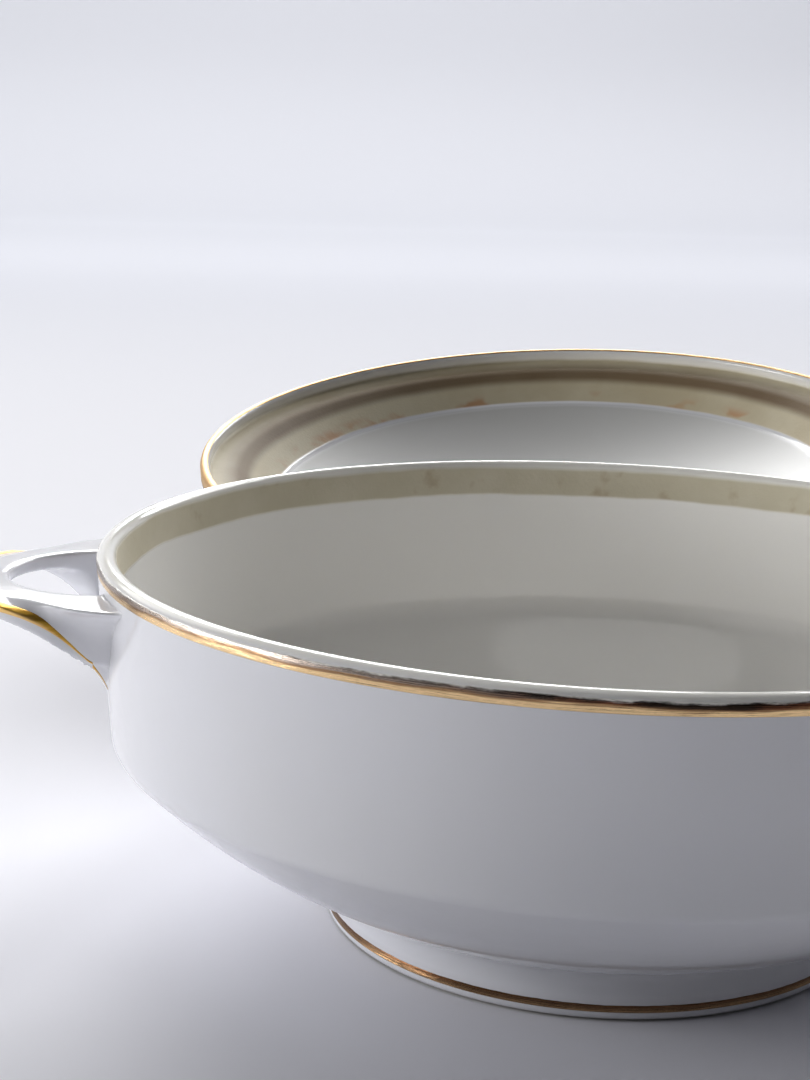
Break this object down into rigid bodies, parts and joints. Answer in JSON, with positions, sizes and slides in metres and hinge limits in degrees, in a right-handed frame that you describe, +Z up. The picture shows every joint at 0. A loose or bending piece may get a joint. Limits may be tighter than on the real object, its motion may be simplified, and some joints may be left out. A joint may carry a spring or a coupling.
{
  "type": "covered serving bowl",
  "caption": "Round footed porcelain serving bowl with pierced side handles and gilt edges, with its domed lid lying upside down behind it.",
  "frame": {"origin": "on the bowl's axis at table level, in the middle of the foot ring", "axes": "+Z up along the bowl's axis; the handles point along -X and +X; the lid lies on the +Y side"},
  "size_m": [0.289, 0.4498, 0.0869],
  "materials": {
    "porcelain": "clear gloss glaze over white porcelain; unglazed tan where lid and bowl meet",
    "gold_bright": "fired gold, brushed on by hand and worn along its edges",
    "gold_deep": "fired gold, thick and deep amber",
    "gold_brown": "fired gold line, brown and dull"
  },
  "bodies": {
    "bowl": {"bowl_shell": "porcelain", "foot_ring": "porcelain", "left_handle": "porcelain", "right_handle": "porcelain", "rim_gilding": "gold_bright", "foot_gilding": "gold_brown", "left_handle_gilding": "gold_deep", "right_handle_gilding": "gold_deep"},
    "lid": {"lid_shell": "porcelain", "lid_knob": "porcelain", "lid_edge_gilding": "gold_bright", "lid_knob_gilding": "gold_bright"}
  },
  "joints": [
    {"name": "lid_lift", "type": "slide", "parent": "bowl", "child": "lid", "axis": [0, 0.0995, 0.995], "range_m": [0, 0.15]}
  ]
}
